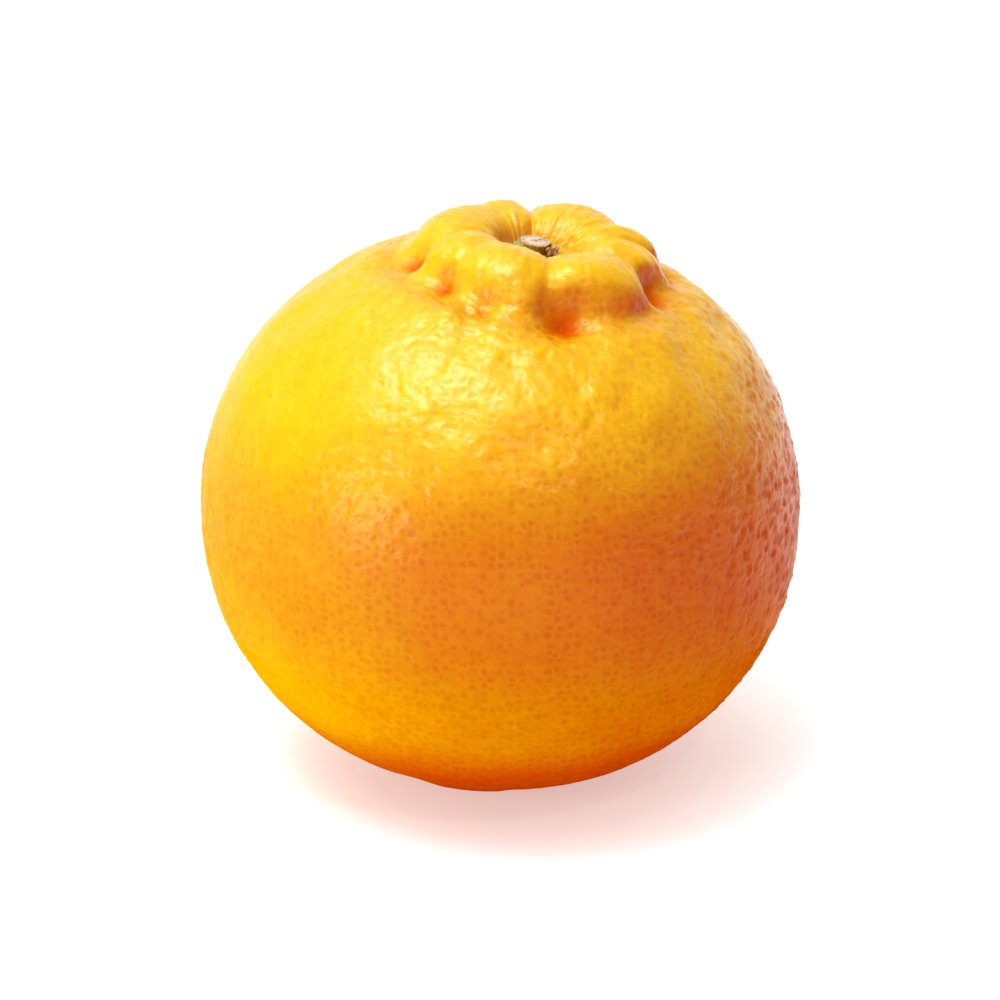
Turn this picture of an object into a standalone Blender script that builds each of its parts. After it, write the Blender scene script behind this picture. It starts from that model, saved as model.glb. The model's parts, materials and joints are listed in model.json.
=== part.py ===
"""A bergamot orange, whole and ripe, with a ring of knobbly lobes round its cut stalk.

The body is upright. The crown of lobes sits off its middle and leans with the skin there, so the
rings of the mesh lean more and more towards the stalk. Metres, +Z up, origin at the bottom centre.
"""

import math

import bmesh
import bpy
import numpy as np
from mathutils import Matrix, Vector, noise

# The whole fruit
BODY_RADIUS = 0.0398
BODY_HALF_HEIGHT = 0.0368
BODY_FULLNESS = 2.10  # 2 is an ellipsoid, and more is squarer
LEAN = math.radians(9)  # how far the crown and the stalk lean
LEAN_TOWARDS = math.radians(-27)  # to the right and a little to the front
LEAN_LOW, LEAN_HIGH = 0.004, 0.031  # heights between which the lean comes in
HOLLOW_SHIFT = -0.0008  # the hollow and its stalk sit this far to the left of the crown's middle
HOLLOW_REACH = 0.0065  # distance from the axis at which a third of that shift is left
FLAT_SPOT_DEPTH = 0.0007  # how far the underside is pressed flat where it rests

# The mesh: columns run round the axis, rows from the stalk to the blossom end
COLUMNS = 96
ROWS = 60

# Rows of the crown, from the axis outwards: radius and height in a crease between two lobes,
# then how much further out and up the skin is along the middle of a lobe.
CROWN_ROWS = [
    (0.0000, 0.0341, 0.0000, 0.0000),  # floor of the hollow, under the stalk
    (0.0029, 0.0340, 0.0000, 0.0000),
    (0.0044, 0.0352, 0.0000, 0.0004),
    (0.0064, 0.0369, 0.0001, 0.0012),
    (0.0092, 0.0375, 0.0004, 0.0015),  # crest
    (0.0120, 0.0369, 0.0008, 0.0019),
    (0.0138, 0.0355, 0.0012, 0.0021),
    (0.0150, 0.0339, 0.0014, 0.0019),  # steepest part of the crown's side
    (0.0166, 0.0329, 0.0008, 0.0012),  # foot of the crown
    (0.0186, 0.0325, 0.0001, 0.0006),
    (0.0210, 0.0318, 0.0000, 0.0003),
]
# The plain body's rows, by their angle from the axis
SHOULDER_ANGLE = math.radians(36)
BLOSSOM_ANGLE = math.radians(164)
BODY_STEP = math.radians(10)

# Rows of the blossom end, which is a shallow dimple
BLOSSOM_ROWS = [(0.0062, -0.0367), (0.0034, -0.0362), (0.0016, -0.0352), (0.0, -0.0348)]

# Lobes of the crown, counterclockwise from above with +X at 0 degrees and the front at -90:
# the crease before the lobe, in degrees, how deep that crease is, and how strongly the lobe bulges.
LOBES = [
    (-232, 0.45, 0.80),
    (-164, 0.80, 0.80),
    (-134, 0.50, 1.00),
    (-85, 0.90, 1.05),
    (-24, 1.00, 0.88),
    (12, 0.90, 1.00),
    (37, 0.50, 1.20),
    (97, 1.00, 0.78),
]
LOBE_ROUNDNESS = 0.62  # 0.5 is a round arch that meets its neighbour in a sharp crease
# The creases wander to one side inside this row of the crown and to the other outside it
CREASE_WANDER = math.radians(5)
WANDER_WAVES, WANDER_PHASE = 3, 1.3
WANDER_ROW, WANDER_ROWS = 5.6, 8

# Pockets and dents round the foot of the crown, and last the fuller shoulder to the right of it:
# direction in degrees and distance from the stalk's axis, depth, and half width
DENTS = [
    (-78, 0.0176, 0.0022, 0.0033),
    (-18, 0.0160, 0.0018, 0.0024),
    (-134, 0.0168, 0.0013, 0.0022),
    (-164, 0.0160, 0.0010, 0.0022),
    (-111, 0.0184, 0.0010, 0.0020),
    (-40, 0.0180, 0.0008, 0.0020),
    (-113, 0.0228, 0.0006, 0.0018),
    (12, 0.0168, 0.0010, 0.0022),
    (37, 0.0168, 0.0010, 0.0022),
    (97, 0.0168, 0.0016, 0.0025),
    (128, 0.0168, 0.0010, 0.0022),
    (8, 0.0265, -0.0008, 0.0100),
]

# Low swellings round the blossom end: the groove before each, in degrees, and its rise
BASE_SWELLINGS = [
    (-122, 0.0004),
    (-87, 0.0),
    (-20, 0.0004),
    (35, 0.0003),
    (90, 0.0004),
    (150, 0.0003),
    (195, 0.0004),
]
BASE_GROOVE = 0.0003
BASE_RING_ANGLE = math.radians(158)
BASE_RING_WIDTH = math.radians(13)

# Unevenness of the skin: size of the features and how far they stand out
SWELL_SIZE, SWELL_HEIGHT = 0.030, 0.0004
PUCKER_SIZE, PUCKER_HEIGHT = 0.0052, 0.0006
PUCKER_PLACE = Vector((3, 1, 4))  # which stretch of the noise the puckers come from
PUCKER_START, PUCKER_REACH = 0.031, 0.018  # height of the shoulder, and how far down they run out
PUCKER_CLEAR = 0.014  # distance from the axis inside which the crown is smoother

# The calyx and the stalk, in the hollow, about the leaning axis
CALYX_HEIGHT = 0.0352
CALYX_THICKNESS = 0.0007
CALYX_COLUMNS, CALYX_RINGS = 45, 6
CALYX_WAIST = 0.0027
CALYX_RISE = 0.0002  # of the rim between the sepals
CALYX_CURL = 6  # how late the sepals turn up
# Sepals: direction in degrees, how far the tip reaches out, how far it stands up
SEPALS = [
    (-4, 0.0040, 0.0016),
    (-44, 0.0038, 0.0010),
    (-118, 0.0036, 0.0004),
    (168, 0.0040, 0.0008),
    (76, 0.0038, 0.0006),
]
SEPAL_HALF_WIDTH = math.radians(34)
SEPAL_FULLNESS = 0.8  # 1 is a straight-sided tip, and less is rounder
STALK_SIDES = 28
# Rings of the stalk, upwards: radius and height over its foot
STALK_RINGS = [
    (0.0021, 0.0),
    (0.0023, 0.0002),
    (0.00225, 0.0005),
    (0.00205, 0.0010),
    (0.00198, 0.00135),
    (0.0018, 0.00155),
]
STALK_FOOT = 0.0359
STALK_RIBS = [(5, 0.6, 0.035), (9, 2.0, 0.025)]  # how many round the stalk, phase and share of the radius
STALK_OVAL = (1.04, 0.97)
CUT_SLOPE = (math.radians(3), math.radians(-5))  # the cut face rises to the right and to the front

# Finishes: linear colour and roughness
RIND = ((0.95, 0.44, 0.015), 0.35)
CALYX = ((0.24, 0.20, 0.05), 0.75)
STALK = ((0.40, 0.27, 0.10), 0.80)


def body_rows():
    """Radius and height of the plain body, from the shoulder to the blossom end's dimple."""
    count = round((BLOSSOM_ANGLE - SHOULDER_ANGLE) / BODY_STEP)
    power = 2 / BODY_FULLNESS
    rows = []
    for angle in np.linspace(SHOULDER_ANGLE, BLOSSOM_ANGLE, count + 1):
        height = BODY_HALF_HEIGHT * math.copysign(abs(math.cos(angle)) ** power, math.cos(angle))
        rows.append((BODY_RADIUS * math.sin(angle) ** power, height))
    return rows


def arch(azimuth, creases, depths):
    """1 in the middle of a lobe, down to 1 less the depth in a crease, and the number of the lobe."""
    turned = (azimuth - creases[0]) % math.tau + creases[0]
    index = np.searchsorted(creases, turned, side="right") - 1
    ends = np.append(creases, creases[0] + math.tau)
    share = (turned - ends[index]) / (ends[index + 1] - ends[index])
    depth = depths[index] * (1 - share) + depths[(index + 1) % len(depths)] * share
    rounded = np.clip(1 - (2 * share - 1) ** 2, 0, 1) ** LOBE_ROUNDNESS
    return 1 - depth * (1 - rounded), index


def curve_weights(t):
    """Weights of four neighbouring rows on a smooth curve through them, t running between the middle two."""
    return (
        (-t + 2 * t**2 - t**3) / 2,
        (2 - 5 * t**2 + 3 * t**3) / 2,
        (t + 4 * t**2 - 3 * t**3) / 2,
        (t**3 - t**2) / 2,
    )


def rind_profile(azimuth, station):
    """Radius and height of the skin at these azimuths, station 0 at the stalk and 1 at the blossom end."""
    crown = np.array(CROWN_ROWS)
    plain = np.array(body_rows() + BLOSSOM_ROWS)
    base = np.vstack([crown[:, :2], plain])
    extra = np.vstack([crown[:, 2:], np.zeros_like(plain)])
    lobes = np.array(LOBES)
    place = station * (len(base) - 1)
    first = np.minimum(place.astype(int), len(base) - 2)
    wander = CREASE_WANDER * np.clip((place - WANDER_ROW) / WANDER_ROWS, -0.5, 0.5)
    wander = wander * np.sin(WANDER_WAVES * azimuth + WANDER_PHASE)
    rise, lobe = arch(azimuth + wander, np.radians(lobes[:, 0]), lobes[:, 1])
    rise = rise * lobes[lobe, 2]
    radius, height = np.zeros_like(azimuth), np.zeros_like(azimuth)
    for step, weight in zip((-1, 0, 1, 2), curve_weights(place - first)):
        row = first + step
        # a row past either end is the one on the far side of the axis
        side = np.where((row < 0) | (row >= len(base)), -1.0, 1.0)
        row = np.abs(row)
        row = np.where(row >= len(base), 2 * (len(base) - 1) - row, row)
        radius += weight * side * (base[row, 0] + extra[row, 0] * rise)
        height += weight * (base[row, 1] + extra[row, 1] * rise)
    return radius, height


def base_swell(azimuth, radius, height):
    """How far the low swellings round the blossom end stand out."""
    swellings = np.array(BASE_SWELLINGS)
    rounded, index = arch(azimuth, np.radians(swellings[:, 0]), np.ones(len(swellings)))
    off_ring = (np.arctan2(radius, height) - BASE_RING_ANGLE) / BASE_RING_WIDTH
    return (rounded * (swellings[index, 1] + BASE_GROOVE) - BASE_GROOVE) * np.exp(-(off_ring**2))


def leaned(azimuth, radius, height):
    """Points of the skin, each ring turned by its share of the lean, and the hollow shifted to the left."""
    share = np.clip((height - LEAN_LOW) / (LEAN_HIGH - LEAN_LOW), 0, 1)
    turn = LEAN * share**2 * (3 - 2 * share)
    along = radius * np.cos(azimuth - LEAN_TOWARDS)
    across = radius * np.sin(azimuth - LEAN_TOWARDS)
    risen = height * np.cos(turn) - along * np.sin(turn)
    along = along * np.cos(turn) + height * np.sin(turn)
    x = along * math.cos(LEAN_TOWARDS) - across * math.sin(LEAN_TOWARDS)
    x += HOLLOW_SHIFT * share * np.exp(-((radius / HOLLOW_REACH) ** 2))
    y = along * math.sin(LEAN_TOWARDS) + across * math.cos(LEAN_TOWARDS)
    return np.stack([x, y, risen], axis=1)


def dent_centres():
    """The middle of each dent, on the smooth skin."""
    dents = np.array(DENTS)
    stations = np.linspace(0, 0.5, 400)
    centres = []
    for azimuth, distance in zip(np.radians(dents[:, 0]), dents[:, 1]):
        around = np.full_like(stations, azimuth)
        radius, height = rind_profile(around, stations)
        nearest = int(np.argmin(np.abs(radius - distance)))
        centres.append(leaned(around, radius, height)[nearest])
    return [Vector(centre) for centre in centres]


def skin_relief(point, centres):
    """How far the uneven skin stands out at a point of the smooth fruit, less than 0 in a pocket."""
    relief = SWELL_HEIGHT * noise.noise(point / SWELL_SIZE)
    near_crown = math.exp(-(max(0.0, PUCKER_START - point.z) / PUCKER_REACH) ** 2)
    near_crown *= min(1.0, math.hypot(*point.xy) / PUCKER_CLEAR)
    relief += PUCKER_HEIGHT * near_crown * noise.noise(PUCKER_PLACE + point / PUCKER_SIZE)
    for centre, (_, _, depth, half_width) in zip(centres, DENTS):
        relief -= depth * math.exp(-((point - centre).length / half_width) ** 2)
    return relief


def fruit_mesh():
    """The fruit, from a sphere whose rows and columns follow the profile."""
    bm = bmesh.new()
    bmesh.ops.create_uvsphere(bm, u_segments=COLUMNS, v_segments=ROWS, radius=1)
    sphere = np.array([vert.co for vert in bm.verts])
    azimuth = np.arctan2(sphere[:, 1], sphere[:, 0])
    radius, height = rind_profile(azimuth, np.arccos(np.clip(sphere[:, 2], -1, 1)) / math.pi)
    grown = 1 + base_swell(azimuth, radius, height) / np.maximum(np.hypot(radius, height), 0.001)
    for vert, place in zip(bm.verts, leaned(azimuth, radius * grown, height * grown)):
        vert.co = place
    bm.normal_update()
    centres = dent_centres()
    moves = [vert.normal * skin_relief(vert.co, centres) for vert in bm.verts]
    for vert, move in zip(bm.verts, moves):
        vert.co += move
    return bm


def press_flat(bm):
    """Presses the underside flat where the fruit rests. Returns the move that stands it on the origin."""
    floor = min(vert.co.z for vert in bm.verts) + FLAT_SPOT_DEPTH
    for vert in bm.verts:
        vert.co.z = max(vert.co.z, floor)
    middle = [
        (min(vert.co[side] for vert in bm.verts) + max(vert.co[side] for vert in bm.verts)) / 2
        for side in range(2)
    ]
    return Vector((-middle[0], -middle[1], -floor))


def calyx_mesh():
    """The calyx as an open sheet: a disc that runs out into sepals and curls up round the stalk."""
    bm = bmesh.new()
    line = [bm.verts.new((ring / CALYX_RINGS, 0, 0)) for ring in range(CALYX_RINGS + 1)]
    edges = [bm.edges.new(pair) for pair in zip(line, line[1:])]
    whole_turn = {"cent": (0, 0, 0), "axis": (0, 0, 1), "angle": math.tau, "steps": CALYX_COLUMNS}
    bmesh.ops.spin(bm, geom=line + edges, use_merge=True, **whole_turn)
    bmesh.ops.remove_doubles(bm, verts=bm.verts, dist=1e-5)
    for vert in bm.verts:
        out = vert.co.xy.length
        azimuth = math.atan2(vert.co.y, vert.co.x)
        reach, rise = CALYX_WAIST, CALYX_RISE
        for direction, tip_reach, tip_rise in SEPALS:
            off = math.remainder(azimuth - math.radians(direction), math.tau) / SEPAL_HALF_WIDTH
            share = max(0.0, 1 - abs(off)) ** SEPAL_FULLNESS
            reach = max(reach, CALYX_WAIST + share * (tip_reach - CALYX_WAIST))
            rise = max(rise, share * tip_rise)
        height = CALYX_HEIGHT + rise * out**CALYX_CURL
        vert.co = (reach * out * math.cos(azimuth), reach * out * math.sin(azimuth), height)
    bmesh.ops.recalc_face_normals(bm, faces=bm.faces)
    return bm


def stalk_mesh():
    """The cut stalk, drawn up ring by ring from its foot, with low ribs and a sloping cut."""
    bm = bmesh.new()
    bmesh.ops.create_circle(bm, cap_ends=True, segments=STALK_SIDES, radius=STALK_RINGS[0][0])
    top = bm.faces[:]
    for (below, low), (radius, high) in zip(STALK_RINGS, STALK_RINGS[1:]):
        made = bmesh.ops.extrude_face_region(bm, geom=top)["geom"]
        if low:  # the foot's own face stays, and the faces above it were only the top for a while
            bmesh.ops.delete(bm, geom=top, context="FACES_ONLY")
        ring = [part for part in made if isinstance(part, bmesh.types.BMVert)]
        top = [part for part in made if isinstance(part, bmesh.types.BMFace)]
        bmesh.ops.scale(bm, verts=ring, vec=(radius / below, radius / below, 1))
        bmesh.ops.translate(bm, verts=ring, vec=(0, 0, high - low))
    for vert in bm.verts:
        azimuth = math.atan2(vert.co.y, vert.co.x)
        rib = 1 + sum(share * math.sin(count * azimuth + phase) for count, phase, share in STALK_RIBS)
        up = vert.co.z / STALK_RINGS[-1][1]
        vert.co.x *= rib * STALK_OVAL[0]
        vert.co.y *= rib * STALK_OVAL[1]
        vert.co.z += up * (math.tan(CUT_SLOPE[0]) * vert.co.x + math.tan(CUT_SLOPE[1]) * vert.co.y)
        vert.co.z += STALK_FOOT
    bmesh.ops.recalc_face_normals(bm, faces=bm.faces)
    return bm


def material(name, colour, roughness):
    """A plain finish for one sub-part."""
    made = bpy.data.materials.new(name)
    made.use_nodes = True
    shader = made.node_tree.nodes["Principled BSDF"]
    shader.inputs["Base Color"].default_value = (*colour, 1)
    shader.inputs["Roughness"].default_value = roughness
    made.diffuse_color = (*colour, 1)
    return made


def add_object(name, bm, finish, parent, collection):
    """Turns a bmesh into a named, smooth object that hangs from an empty."""
    mesh = bpy.data.meshes.new(name)
    bm.to_mesh(mesh)
    bm.free()
    mesh.shade_smooth()
    mesh.materials.append(finish)
    obj = bpy.data.objects.new(name, mesh)
    obj.parent = parent
    collection.objects.link(obj)
    return obj


def main():
    for obj in list(bpy.data.objects):
        bpy.data.objects.remove(obj)
    collection = bpy.data.collections.new("bergamot_orange")
    bpy.context.scene.collection.children.link(collection)

    fruit = fruit_mesh()
    middle = bpy.data.objects.new("body_middle", None)
    middle.location = press_flat(fruit)
    collection.objects.link(middle)
    axis = bpy.data.objects.new("stalk_axis", None)
    tilt = Vector((-math.sin(LEAN_TOWARDS), math.cos(LEAN_TOWARDS), 0))
    axis.rotation_euler = Matrix.Rotation(LEAN, 3, tilt).to_euler()
    axis.location.x = HOLLOW_SHIFT
    axis.parent = middle
    collection.objects.link(axis)

    add_object("fruit", fruit, material("rind", *RIND), middle, collection)
    calyx = add_object("calyx", calyx_mesh(), material("calyx", *CALYX), axis, collection)
    sheet = calyx.modifiers.new("thickness", "SOLIDIFY")
    sheet.thickness = CALYX_THICKNESS
    sheet.offset = 0
    add_object("stem", stalk_mesh(), material("stem", *STALK), axis, collection)


main()
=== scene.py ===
"""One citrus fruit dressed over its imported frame: oily rind, dry calyx, cut stalk and studio."""

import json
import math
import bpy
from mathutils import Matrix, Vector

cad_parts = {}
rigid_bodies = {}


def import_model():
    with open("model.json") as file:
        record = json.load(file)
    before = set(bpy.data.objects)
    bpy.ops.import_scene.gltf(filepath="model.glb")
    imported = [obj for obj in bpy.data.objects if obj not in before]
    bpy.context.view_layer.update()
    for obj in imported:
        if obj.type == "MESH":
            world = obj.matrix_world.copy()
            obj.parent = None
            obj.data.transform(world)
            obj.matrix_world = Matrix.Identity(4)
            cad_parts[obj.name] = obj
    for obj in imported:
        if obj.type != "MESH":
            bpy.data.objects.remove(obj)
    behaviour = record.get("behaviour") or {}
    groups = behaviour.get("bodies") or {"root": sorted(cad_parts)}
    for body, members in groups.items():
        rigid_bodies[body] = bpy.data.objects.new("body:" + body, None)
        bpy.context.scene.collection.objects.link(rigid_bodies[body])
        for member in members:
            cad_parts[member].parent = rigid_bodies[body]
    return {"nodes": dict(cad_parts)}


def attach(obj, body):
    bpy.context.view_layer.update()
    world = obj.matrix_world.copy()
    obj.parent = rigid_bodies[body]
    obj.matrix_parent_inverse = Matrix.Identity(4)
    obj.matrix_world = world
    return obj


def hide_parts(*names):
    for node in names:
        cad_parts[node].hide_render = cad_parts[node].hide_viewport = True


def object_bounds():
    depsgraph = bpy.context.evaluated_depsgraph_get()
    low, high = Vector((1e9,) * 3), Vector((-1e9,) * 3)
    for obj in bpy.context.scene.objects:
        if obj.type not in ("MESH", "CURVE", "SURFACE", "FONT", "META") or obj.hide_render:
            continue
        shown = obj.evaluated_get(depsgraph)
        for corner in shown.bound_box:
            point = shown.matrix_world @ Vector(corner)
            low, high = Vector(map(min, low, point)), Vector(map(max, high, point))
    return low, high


bl_info = {
    "name": "Bergamot Orange",
    "version": (1, 0, 0),
    "blender": (4, 5, 0),
    "location": "View3D > Sidebar > Fruit",
    "description": "Dresses the packed fruit with its rind, its calyx and its cut stalk",
    "category": "Object",
}

import bmesh
import bpy
from bpy.props import FloatProperty, FloatVectorProperty, PointerProperty
from mathutils import Matrix, Vector, noise

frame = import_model()
CAD_BOX = [list(corner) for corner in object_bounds()]

MM = 0.001
STALK_BASE = Vector((-0.67, -0.11, 36.23)) * MM  # where the stalk's axis passes the fruit's middle
STALK_WAY = Vector((0.1394, -0.0710, 0.9877))  # the stalk leans to the right and a little to the front


def linear(code):
    """An sRGB hex colour as the linear RGBA that Blender's sockets take."""
    channels = [int(code[at : at + 2], 16) / 255 for at in (0, 2, 4)]
    return tuple(c / 12.92 if c <= 0.04045 else ((c + 0.055) / 1.055) ** 2.4 for c in channels) + (1.0,)


def fade_in(low, high, value):
    """0 below low and 1 above high, with a soft start and end."""
    share = min(1.0, max(0.0, (value - low) / (high - low)))
    return share * share * (3 - 2 * share)


def fade_out(low, high, value):
    """1 below low and 0 above high, with a soft start and end."""
    return 1 - fade_in(low, high, value)


def flat_noise(at, fineness, level):
    """Noise over the x and y of a vector, this fine, at a level that moves the pattern."""
    return noise.noise(Vector((at.x * fineness, at.y * fineness, level)))


def stalk_frame():
    """The matrix that takes a piece drawn round the z axis to the stalk's place on the fruit."""
    turn = Vector((0, 0, 1)).rotation_difference(STALK_WAY).to_matrix().to_4x4()
    return Matrix.Translation(STALK_BASE) @ turn


def finish_piece(name, bm, materials, node):
    """Make the object of a finished bmesh, which stands for a node of the frame."""
    mesh = bpy.data.meshes.new(name)
    bm.to_mesh(mesh)
    bm.free()
    mesh.shade_smooth()
    obj = bpy.data.objects.new(name, mesh)
    for material in materials:
        mesh.materials.append(material)
    bpy.context.scene.collection.objects.link(obj)
    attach(obj, "root")
    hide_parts(node)


# shader nodes


def new_material(name):
    """An empty node material, and its tree."""
    material = bpy.data.materials.new(name)
    material.use_nodes = True
    material.node_tree.nodes.clear()
    return material, material.node_tree


def add_node(tree, kind, inputs=None, stops=None, **settings):
    """Add a shader node with its settings, then its inputs as values or links, and a ramp's stops."""
    node = tree.nodes.new(kind)
    for name, value in settings.items():
        setattr(node, name, value)
    for key, value in (inputs or {}).items():
        if isinstance(value, bpy.types.NodeSocket):
            tree.links.new(value, node.inputs[key])
        else:
            node.inputs[key].default_value = value
    if stops:
        ramp = node.color_ramp.elements
        while len(ramp) < len(stops):
            ramp.new(1.0)
        for element, (place, colour) in zip(ramp, stops):
            element.position = place
            element.color = colour
    return node


def object_place(tree):
    """The place on the object, in metres."""
    return add_node(tree, "ShaderNodeTexCoord").outputs["Object"]


def scaled(tree, place, scale):
    """A place scaled along x, y and z."""
    return add_node(tree, "ShaderNodeMapping", {"Vector": place, "Scale": scale}).outputs[0]


def split(tree, place):
    """The x, y and z of a place."""
    return add_node(tree, "ShaderNodeSeparateXYZ", {0: place}).outputs


def length_of(tree, place):
    """How far a place is from the point that it is measured from."""
    return add_node(tree, "ShaderNodeVectorMath", {0: place}, operation="LENGTH").outputs["Value"]


def attribute(tree, name):
    """A value that the mesh keeps at each of its points."""
    return add_node(tree, "ShaderNodeAttribute", attribute_name=name).outputs["Fac"]


def calculated(tree, operation, *values):
    """What a Math node makes of these values and links."""
    return add_node(tree, "ShaderNodeMath", dict(enumerate(values)), operation=operation).outputs[0]


def ranged(tree, value, low, high, to_low=0.0, to_high=1.0, kind="LINEAR"):
    """A value taken from its own range to another, and held inside that."""
    inputs = {"Value": value, "From Min": low, "From Max": high, "To Min": to_low, "To Max": to_high}
    return add_node(tree, "ShaderNodeMapRange", inputs, interpolation_type=kind).outputs[0]


def ramped(tree, value, stops):
    """The colour that a row of stops gives to a value."""
    return add_node(tree, "ShaderNodeValToRGB", {"Fac": value}, stops).outputs[0]


def tinted(tree, share, ground, colour, blend="MIX"):
    """The ground with this share of a colour over it."""
    inputs = {0: share, 6: ground, 7: colour}
    return add_node(tree, "ShaderNodeMix", inputs, data_type="RGBA", blend_type=blend).outputs[2]


def noisy(tree, place, width, detail, roughness=0.5):
    """The value and the colour of a noise whose swells are this wide."""
    inputs = {"Vector": place, "Scale": 1 / width, "Detail": detail, "Roughness": roughness}
    return add_node(tree, "ShaderNodeTexNoise", inputs).outputs


def off_cells(tree, place, spacing, uneven, feature="F1"):
    """How far off the nearest or the second nearest of scattered points is, where 1 is their spacing."""
    inputs = {"Vector": place, "Scale": 1 / spacing, "Randomness": uneven}
    return add_node(tree, "ShaderNodeTexVoronoi", inputs, feature=feature).outputs["Distance"]


def bumped(tree, height, depth):
    """The normals of a relief, as deep as depth where its height goes from 0 to 1."""
    inputs = {"Strength": 1.0, "Distance": depth, "Height": height}
    return add_node(tree, "ShaderNodeBump", inputs).outputs[0]


def add_surface(tree, inputs, **settings):
    """Give the material its surface, a Principled shader with these inputs."""
    surface = add_node(tree, "ShaderNodeBsdfPrincipled", inputs, **settings).outputs[0]
    add_node(tree, "ShaderNodeOutputMaterial", {"Surface": surface})


# the rind

SAME_PLACE = 0.001 * MM
JOIN_ANGLE = math.radians(60)  # triangles that bend or skew by less than this are joined in pairs
HOLLOW_ROUNDS = 60  # of smoothing, which fills the hollows and so finds them
ROUNDING_LEVELS = 2
EVERY_WAY = {"use_axis_x": True, "use_axis_y": True, "use_axis_z": True}

# zones of the skin: the two values in mm between which each fades in or out
# HIGH is measured along the stalk's axis from the fruit's middle, and WIDE away from that axis
CROWN_HIGH = (24.0, 31.0)
CROWN_WIDE = (15.5, 19.0)
PUCKERS_HIGH = (18.0, 29.0)
PUCKERS_WIDE = (24.0, 31.0)
FOOT_HIGH = (21.0, 26.0)
FOOT_WIDE = (18.0, 23.0)
STALK_HOLLOW_WIDE = (5.0, 9.0)
# these are measured to the right and up from the middle of the spot that the fruit rests on
RIGHT_SIDE = (-12.0, 34.0)
LEFT_SIDE = (-14.0, 8.0)
UPPER_SIDE = (36.0, 48.0)
LOWER_SIDE = (4.0, 20.0)
RESTING = (0.2, 1.5)
RIDGED_SIDE = (10.0, 24.0)
RIDGED_FROM = (16.0, 26.0)
RIDGED_TO = (42.0, 56.0)

# patterns of the skin: how wide their swells are in mm along x, y and z, and where in the noise they start
PATCHES = ((15.0, 15.0, 15.0), (3.1, 7.7, 0.4))
SWELLS = ((4.6, 4.6, 4.6), (0.0, 0.0, 0.0))
DENTS = ((1.7, 1.7, 0.8), (5.0, 1.0, 9.0))
RIDGES = ((3.4, 3.4, 2.4), (2.0, 6.0, 8.0))
PUCKERS = ((2.6, 2.6, 1.7), (11.0, 2.0, 5.0))
FINE_PUCKERS = ((1.3, 1.3, 1.3), (1.0, 8.0, 3.0))
DENT_EDGE = (0.12, 0.50)  # of the noise, between which a dent gets its depth
RIDGE_EDGE = (0.72, 1.0)  # and a ridge its height

SWELL_HEIGHT = 0.10  # mm
SWELL_HEIGHT_RIGHT = 0.06  # mm more on the right side
RIDGE_HEIGHT = 0.13  # mm
PEBBLE_SQUASH = 1.35  # pebbles are this many times as wide as they are high
FINE_PEBBLES = 1.7  # this many times as fine as the others
WRINKLE_FINENESS = 11.0  # round the stalk
WRINKLE_LENGTH = 3.0  # mm
FOLD_FINENESS = 3.4
FOLD_LENGTH = 1.8
FOLD_SHARE = 0.35  # of the puckers' height
CREASED = (0.4, 2.0)  # mm under the smoothed form, where a crease starts to deepen and is deepest
STALK_HOLLOW_SHARE = 0.35  # of its depth, which is all that counts in the stalk's own hollow

# ripeness by the way that the skin faces, partly the fruit's own colour and partly painted light and shade:
# yellower at the left and on top where the lamps fall, deeper orange on the right and facing down, painted
# bounce light from the floor a little way under, and painted shade at the very bottom
RIPE_MIDDLE = 0.26
RIPE_AND_SHADED_RIGHT = -0.37
RIPE_SIDES = 0.12
RIPE_AND_LIT_TOP = 0.67
PAINTED_BOUNCE_UNDER = 0.17
PAINTED_SHADE_LOW = -0.46
RIPE_CROWN = 0.05
# painted shade at the crown's foot, under the lobes
PAINTED_SHADE_FOOT = -0.24
LIT_FACING_UP = (0.14, 0.80)
BOUNCE_FACING_UNDER = (0.0, 0.4)
SHADED_FACING_DOWN = (0.52, 0.80)


def rind_cage():
    """The fruit's solid as a merged mesh of mostly four-sided faces, with each point's depth in a hollow."""
    bm = bmesh.new()
    bm.from_mesh(frame["nodes"]["fruit"].data)
    bmesh.ops.remove_doubles(bm, verts=bm.verts, dist=SAME_PLACE)
    limits = {"angle_face_threshold": JOIN_ANGLE, "angle_shape_threshold": JOIN_ANGLE}
    bmesh.ops.join_triangles(bm, faces=bm.faces, **limits)
    hollow = bm.verts.layers.float.new("hollow")
    before = [vert.co.copy() for vert in bm.verts]
    for _ in range(HOLLOW_ROUNDS):
        bmesh.ops.smooth_vert(bm, verts=bm.verts, factor=0.5, **EVERY_WAY)
    after = [vert.co.copy() for vert in bm.verts]
    for vert, place in zip(bm.verts, before):
        vert.co = place
    bm.normal_update()
    for vert, place in zip(bm.verts, after):
        vert[hollow] = (place - vert.co).dot(vert.normal) / MM
    return bm


def subdivided(bm, levels):
    """The mesh rounded off by a Subdivision Surface."""
    mesh = bpy.data.meshes.new("cage")
    bm.to_mesh(mesh)
    bm.free()
    cage = bpy.data.objects.new("cage", mesh)
    bpy.context.scene.collection.objects.link(cage)
    rounding = cage.modifiers.new("rounding", "SUBSURF")
    rounding.levels = rounding.render_levels = levels
    seen = cage.evaluated_get(bpy.context.evaluated_depsgraph_get())
    fine = bmesh.new()
    fine.from_mesh(seen.to_mesh())
    seen.to_mesh_clear()
    bpy.data.objects.remove(cage)
    bpy.data.meshes.remove(mesh)
    return fine


def pattern_at(at, pattern):
    """The noise of a pattern at this place in mm, from about -1 to 1."""
    widths, start = pattern
    return noise.noise(Vector([along / width for along, width in zip(at, widths)]) + Vector(start))


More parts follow.
